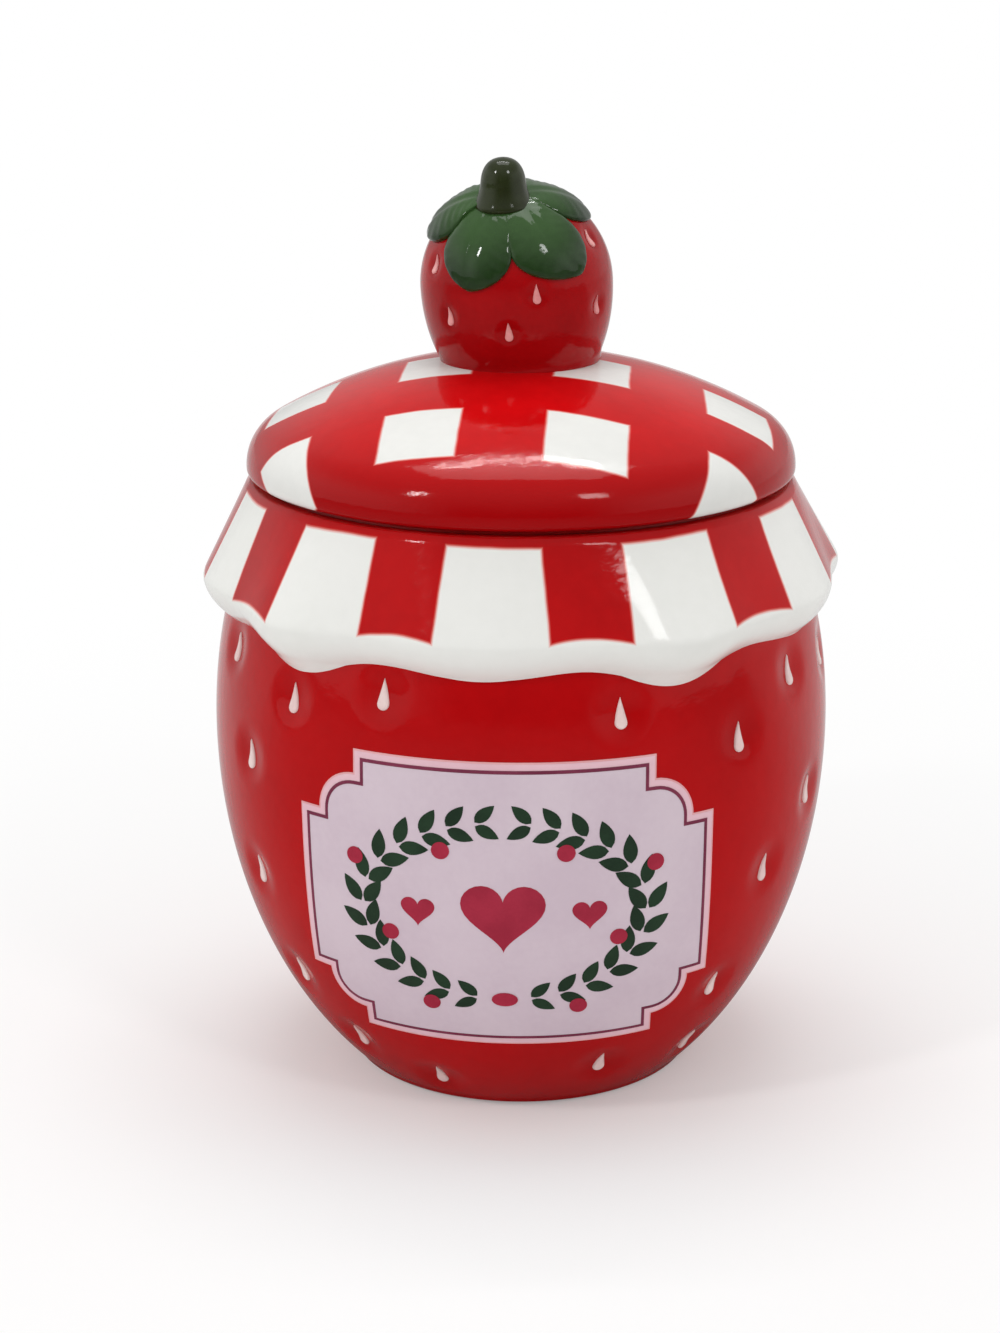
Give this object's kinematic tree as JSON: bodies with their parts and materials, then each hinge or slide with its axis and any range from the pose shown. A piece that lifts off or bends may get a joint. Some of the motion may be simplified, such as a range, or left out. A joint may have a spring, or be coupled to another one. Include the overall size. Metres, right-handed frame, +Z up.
{
  "type": "covered jam pot",
  "caption": "Egg-shaped glazed ceramic jam pot with a ruffled collar, a label panel and a domed lid that lifts off by a berry-shaped knob.",
  "frame": {"origin": "on the table under the middle of the pot", "axes": "+Z up along the pot's axis, the label faces -Y, +X to the right of the label"},
  "size_m": [0.1189, 0.1196, 0.1706],
  "materials": {
    "pot_glaze": "gloss red glaze",
    "frill_glaze": "gloss white glaze with red stripes",
    "seed_glaze": "gloss cream glaze",
    "label_print": "satin fired print",
    "lid_glaze": "gloss red and white check glaze",
    "berry_glaze": "gloss red glaze",
    "leaf_glaze": "gloss green glaze",
    "seal_silicone": "matt translucent white"
  },
  "bodies": {
    "pot": {"jar_body": "pot_glaze", "frill_collar": "frill_glaze", "jar_seeds": "seed_glaze", "label": "label_print"},
    "seal": {"lid_seal": "seal_silicone"},
    "lid": {"lid_shell": "lid_glaze", "berry_knob": "berry_glaze", "knob_seeds": "seed_glaze", "stem": "leaf_glaze", "calyx_leaf_1": "leaf_glaze", "calyx_leaf_2": "leaf_glaze", "calyx_leaf_3": "leaf_glaze", "calyx_leaf_4": "leaf_glaze", "calyx_leaf_5": "leaf_glaze"}
  },
  "joints": [
    {"name": "lid_lift", "type": "slide", "parent": "pot", "child": "seal", "axis": [0, 0, 1], "range_m": [0, 0.08]},
    {"name": "lid_turn", "type": "hinge", "parent": "seal", "child": "lid", "pos_m": [0, 0, 0.1132], "axis": [0, 0, 1], "continuous": true}
  ]
}
